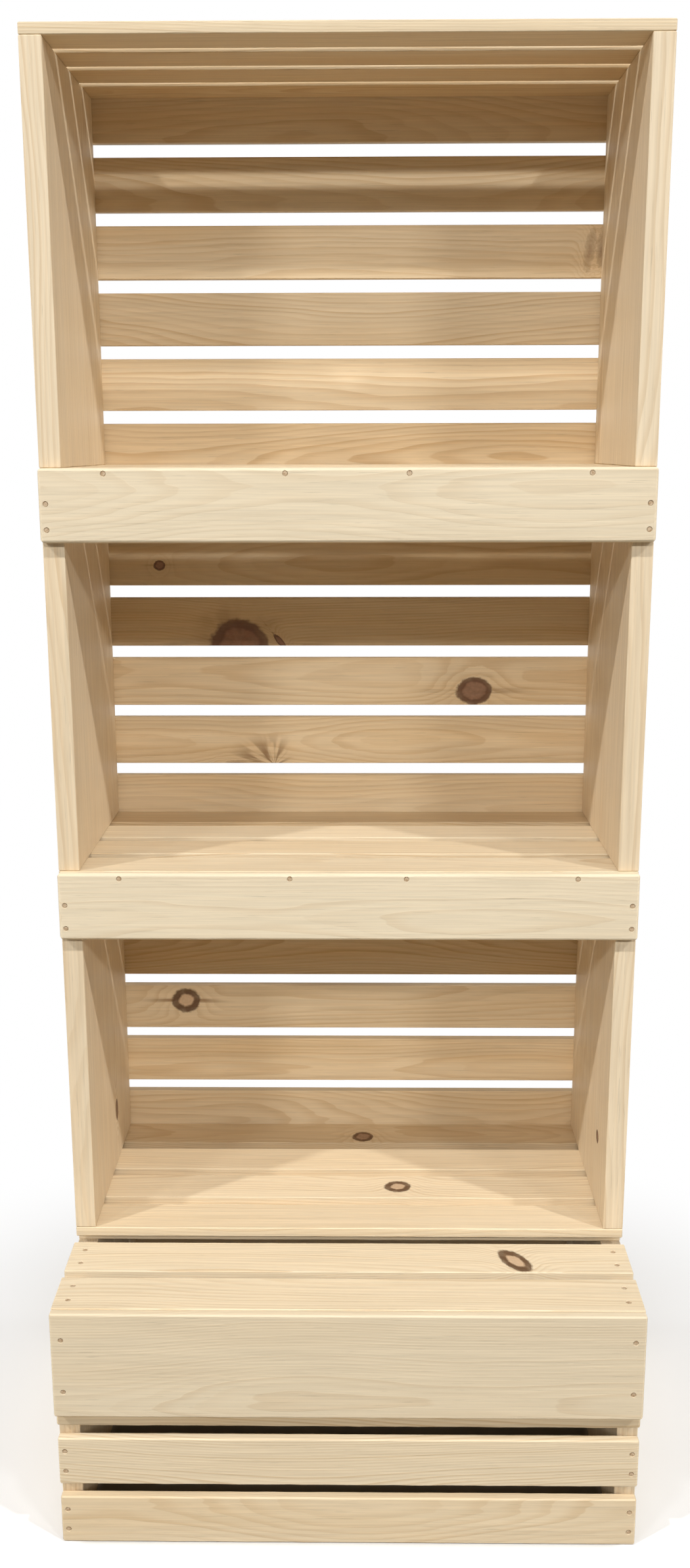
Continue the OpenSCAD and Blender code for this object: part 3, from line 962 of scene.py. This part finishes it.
# %% Base front and back slats
BASE_EASE = 0.0020
WALL_COUNT, OPEN_COUNT = 4, 2
low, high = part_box("base_front_slat_1")
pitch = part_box("base_front_slat_2")[0] - low
pattern = plank("base_wall_pattern", low, high, 0, BASE_EASE)
sink(pattern, pairs(low, high, WALL_ROW, NAIL_EDGE, 2, (1, low.y)), (0, -1, 0))
covered = []
for i in range(WALL_COUNT):
    node = f"base_front_slat_{i + 1}" if i < OPEN_COUNT else "base_covered_front_slats"
    slat = copy_to(pattern, visual(node) if i <= OPEN_COUNT else "covered_slat_2", pitch * i)
    make_own(slat, f"base_front_slat_{i + 1}", "wall", BASE_EASE)
    if i < OPEN_COUNT:
        place_piece(slat, "pine_slat", node)
    else:
        covered.append(slat)
place_piece(join_boards(covered), "pine_slat", "base_covered_front_slats")
bpy.data.objects.remove(pattern)

back_low, back_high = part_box("base_back_slats")
high = Vector((high.x, back_high.y, high.z))
low = Vector((low.x, back_low.y, low.z))
pattern = plank("base_back_pattern", low, high, 0, BASE_EASE)
sink(pattern, pairs(low, high, WALL_ROW, NAIL_EDGE, 2, (1, high.y)), (0, 1, 0))
slats = []
for i in range(WALL_COUNT):
    slat = copy_to(pattern, visual("base_back_slats") if i == 0 else f"base_back_{i}", pitch * i)
    slats.append(make_own(slat, f"base_back_{i}", "wall", BASE_EASE))
place_piece(join_boards(slats), "pine_slat", "base_back_slats")
bpy.data.objects.remove(pattern)
print("base walls:", 2 * WALL_COUNT, "slats in", OPEN_COUNT + 2, "pieces")

# %% [markdown]
# ## The base's top
# Two slats make the ledge in front of the crates. Four slightly narrower ones lie under the lower crate
# and start a little behind its front, which leaves a dark line along the crate's foot. Screws go up
# through two of them into the crate's floor, midway in the strip where the slats overlap.

# %% Base top slats
TOP_EASE = 0.0011
DECK_COUNT, DECK_GAP = 4, 0.012
LEAST_OVERLAP = 0.03


def top_slat(name, low, high):
    """A slat of the base's top with its nail holes."""
    slat = plank(name, low, high, 0, TOP_EASE)
    return sink(slat, pairs(low, high, SHELF_ROW, NAIL_EDGE, 1, (2, high.z)), (0, 0, 1))


low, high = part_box("base_ledge_slat_1")
pattern = top_slat("ledge_pattern", low, high)
for node in ("base_ledge_slat_1", "base_ledge_slat_2"):
    slat = copy_to(pattern, visual(node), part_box(node)[0] - low)
    place_piece(make_own(slat, node, "shelf", TOP_EASE), "pine_slat", node)
bpy.data.objects.remove(pattern)

low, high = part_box("base_deck_slats")
wide = (high.y - low.y - (DECK_COUNT - 1) * DECK_GAP) / DECK_COUNT
pattern = top_slat("deck_pattern", low, Vector((high.x, low.y + wide, high.z)))
deck = []
for i in range(DECK_COUNT):
    front = low.y + i * (wide + DECK_GAP)
    name = visual("base_deck_slats") if i == 0 else f"deck_slat_{i}"
    slat = copy_to(pattern, name, Vector((0, front - low.y, 0)))
    for k in SCREWED_SLATS:
        above_low, above_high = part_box(f"lower_floor_slat_{k}")
        near, far = max(above_low.y, front), min(above_high.y, front + wide)
        if far - near > LEAST_OVERLAP:
            screw_holes(slat, (near + far) / 2, low.z)
    deck.append(make_own(slat, f"deck_slat_{i}", "shelf", TOP_EASE))
place_piece(join_boards(deck), "pine_slat", "base_deck_slats")
bpy.data.objects.remove(pattern)
print("base top: 2 ledge slats and", DECK_COUNT, "deck slats", round(wide * 1000, 2), "mm wide")

# %% [markdown]
# ## The wide board
# One wide board covers the two upper front slats of the base. It is planed smoother than the slats, its
# upper edge is level with the ledge, and two nails at each end hold it. There is only one, so it is
# modelled in place and not copied.

# %% The wide front board
BOARD_EASE = 0.0024
BOARD_NAIL_IN, BOARD_NAIL_EDGE = 0.011, 0.030
low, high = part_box("base_front_board")
board = plank(visual("base_front_board"), low, high, 0, BOARD_EASE)
sink(board, pairs(low, high, BOARD_NAIL_IN, BOARD_NAIL_EDGE, 2, (1, low.y)), (0, -1, 0))
make_own(board, "base_front_board", "wall", BOARD_EASE, "pine_board")
place_piece(board, "pine_board", "base_front_board")
print("wide board:", round((high - low).z * 1000), "mm high")

# %% [markdown]
# ## Stacking screws
# The crates are screwed together from below. Only the heads can ever be seen, so a screw is a countersunk
# head with a cross recess on a plain shank. One is modelled and copied to every place that the slats were
# countersunk for.

# %% Stacking screws
SCREW_LENGTH, SCREW_SIDES = 0.018, 24
CONE = SCREW_HEAD_R - SCREW_R
TIP_SHARE = 0.25
RECESS = (0.0042, 0.0008, 0.0024)
HEAD_SMOOTH_ANGLE = math.radians(35)


def taper_end(screw, at, size, inward):
    """Scales the end face at a height, and moves the shank's ring inward, so that a cone joins the two."""
    shape = bmesh.from_edit_mesh(screw.data)
    bpy.ops.mesh.select_all(action="DESELECT")
    for face in shape.faces:
        face.select_set(abs(face.calc_center_median().z - at) < TINY and abs(face.normal.z) > 0.9)
    bmesh.update_edit_mesh(screw.data)
    bpy.ops.mesh.extrude_region_move(TRANSFORM_OT_translate={"value": (0, 0, 0)})
    bpy.ops.transform.resize(value=(size, size, 1))
    shape = bmesh.from_edit_mesh(screw.data)
    for vert in shape.verts:
        ring = math.hypot(vert.co.x, vert.co.y)
        if abs(vert.co.z - at) < TINY and abs(ring - SCREW_R) < TINY:
            vert.co.z += inward
    bmesh.update_edit_mesh(screw.data)


bpy.ops.object.select_all(action="DESELECT")
bpy.ops.mesh.primitive_cylinder_add(
    vertices=SCREW_SIDES, radius=SCREW_R, depth=SCREW_LENGTH, location=(0, 0, SCREW_LENGTH / 2)
)
screw = bpy.context.active_object
screw.name = "stack_screw_heads"
bpy.ops.object.transform_apply(location=True, rotation=True, scale=True)
bpy.ops.object.mode_set(mode="EDIT")
bpy.ops.mesh.select_mode(type="FACE")
taper_end(screw, 0.0, SCREW_HEAD_R / SCREW_R, CONE)
taper_end(screw, SCREW_LENGTH, TIP_SHARE, -2 * CONE)
bpy.ops.object.mode_set(mode="OBJECT")
for turn in (0, math.pi / 2):
    bpy.ops.mesh.primitive_cube_add(size=1, scale=RECESS, rotation=(0, 0, turn))
    slot_cutter = bpy.context.active_object
    cross = screw.modifiers.new("cross", "BOOLEAN")
    cross.operation, cross.solver, cross.object = "DIFFERENCE", "EXACT", slot_cutter
    pick(screw)
    bpy.ops.object.modifier_apply(modifier=cross.name)
    bpy.data.objects.remove(slot_cutter)
bpy.ops.object.shade_smooth_by_angle(angle=HEAD_SMOOTH_ANGLE)
screws = [copy_to(screw, f"stack_screw_{k}", place) for k, place in enumerate(screw_places)]
bpy.data.objects.remove(screw)
all_screws = join_boards(screws)
all_screws.name = "stack_screw_set"
all_screws.data.materials.clear()
all_screws.data.materials.append(SCREW_STEEL)
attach(all_screws, "root")
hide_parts("stack_screws")
print("screws:", len(screws), "at", sorted({round(p[1], 4) for p in screw_places}))

# %% [markdown]
# ## Last measurements
# The finished model is measured, and its size is printed beside that of the measured frame.

# %% Sizes and finish
low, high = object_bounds()
cad_size, visual_size = ([round(v, 4) for v in size] for size in (cad_high - cad_low, high - low))
print("box in metres: CAD", cad_size, "visual", visual_size)
